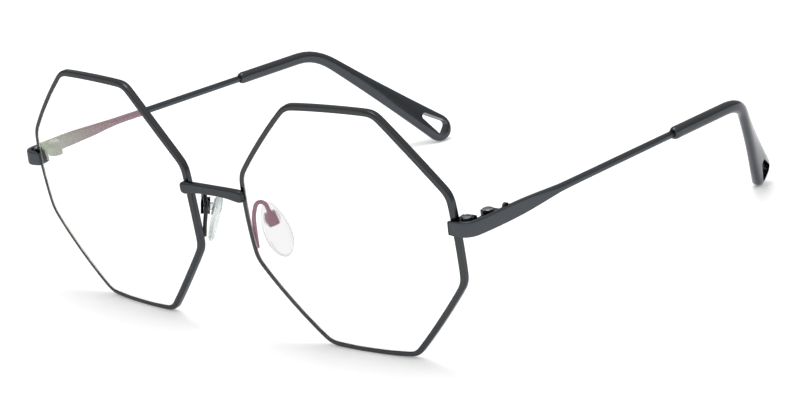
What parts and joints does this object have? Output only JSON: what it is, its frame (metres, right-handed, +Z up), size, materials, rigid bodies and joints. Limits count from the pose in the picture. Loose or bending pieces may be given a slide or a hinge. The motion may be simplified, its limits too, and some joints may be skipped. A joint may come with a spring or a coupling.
{
  "type": "eyeglass frame",
  "caption": "Thin metal eyeglass frame with octagonal lenses, adjustable clear nose pads and folding temples that end in flat pierced tips.",
  "frame": {"origin": "on the surface it stands on, midway between left and right and midway between the frontmost and rearmost points", "axes": "+X to the wearer's left, -Y forward out of the lenses, +Z up; it stands on the rims' lower edges and the tips' ends with the temples open"},
  "size_m": [0.1376, 0.1398, 0.0568],
  "materials": {
    "front_metal": "satin black",
    "temples": "satin black",
    "hinges": "satin black",
    "pad_fittings": "gloss black",
    "screws": "blackened",
    "lenses": "clear with an anti-reflection coating",
    "tips": "gloss black",
    "pads": "clear silicone",
    "pad_cores": "clear"
  },
  "bodies": {
    "front": {"left_eyewire": "front_metal", "right_eyewire": "front_metal", "left_lens": "lenses", "right_lens": "lenses", "bridge": "front_metal", "left_upper_block": "hinges", "right_upper_block": "hinges", "left_lower_block": "hinges", "right_lower_block": "hinges", "left_closing_screw": "screws", "right_closing_screw": "screws", "left_front_leaf": "hinges", "right_front_leaf": "hinges", "left_pad_arm": "pad_fittings", "right_pad_arm": "pad_fittings", "left_pad_box": "pad_fittings", "right_pad_box": "pad_fittings", "left_pad_screw": "screws", "right_pad_screw": "screws"},
    "left_temple_arm": {"left_temple_leaf": "hinges", "left_hinge_screw": "screws", "left_temple": "temples", "left_temple_tip": "tips"},
    "right_temple_arm": {"right_temple_leaf": "hinges", "right_hinge_screw": "screws", "right_temple": "temples", "right_temple_tip": "tips"},
    "left_pad": {"left_pad_core": "pad_cores", "left_nose_pad": "pads"},
    "right_pad": {"right_pad_core": "pad_cores", "right_nose_pad": "pads"}
  },
  "joints": [
    {"name": "left_temple_hinge", "type": "hinge", "parent": "front", "child": "left_temple_arm", "pos_m": [0.06565, -0.05494, 0.03259], "axis": [0, 0, 1], "range_deg": [0, 83]},
    {"name": "right_temple_hinge", "type": "hinge", "parent": "front", "child": "right_temple_arm", "pos_m": [-0.06565, -0.05494, 0.03259], "axis": [0, 0, -1], "range_deg": [0, 72]},
    {"name": "left_pad_pivot", "type": "hinge", "parent": "front", "child": "left_pad", "pos_m": [0.0103, -0.06132, 0.02721], "axis": [0.6179, 0.7433, 0.2563], "range_deg": [-6, 10]},
    {"name": "right_pad_pivot", "type": "hinge", "parent": "front", "child": "right_pad", "pos_m": [-0.0103, -0.06132, 0.02721], "axis": [0.6179, -0.7433, -0.2563], "range_deg": [-6, 10]}
  ]
}
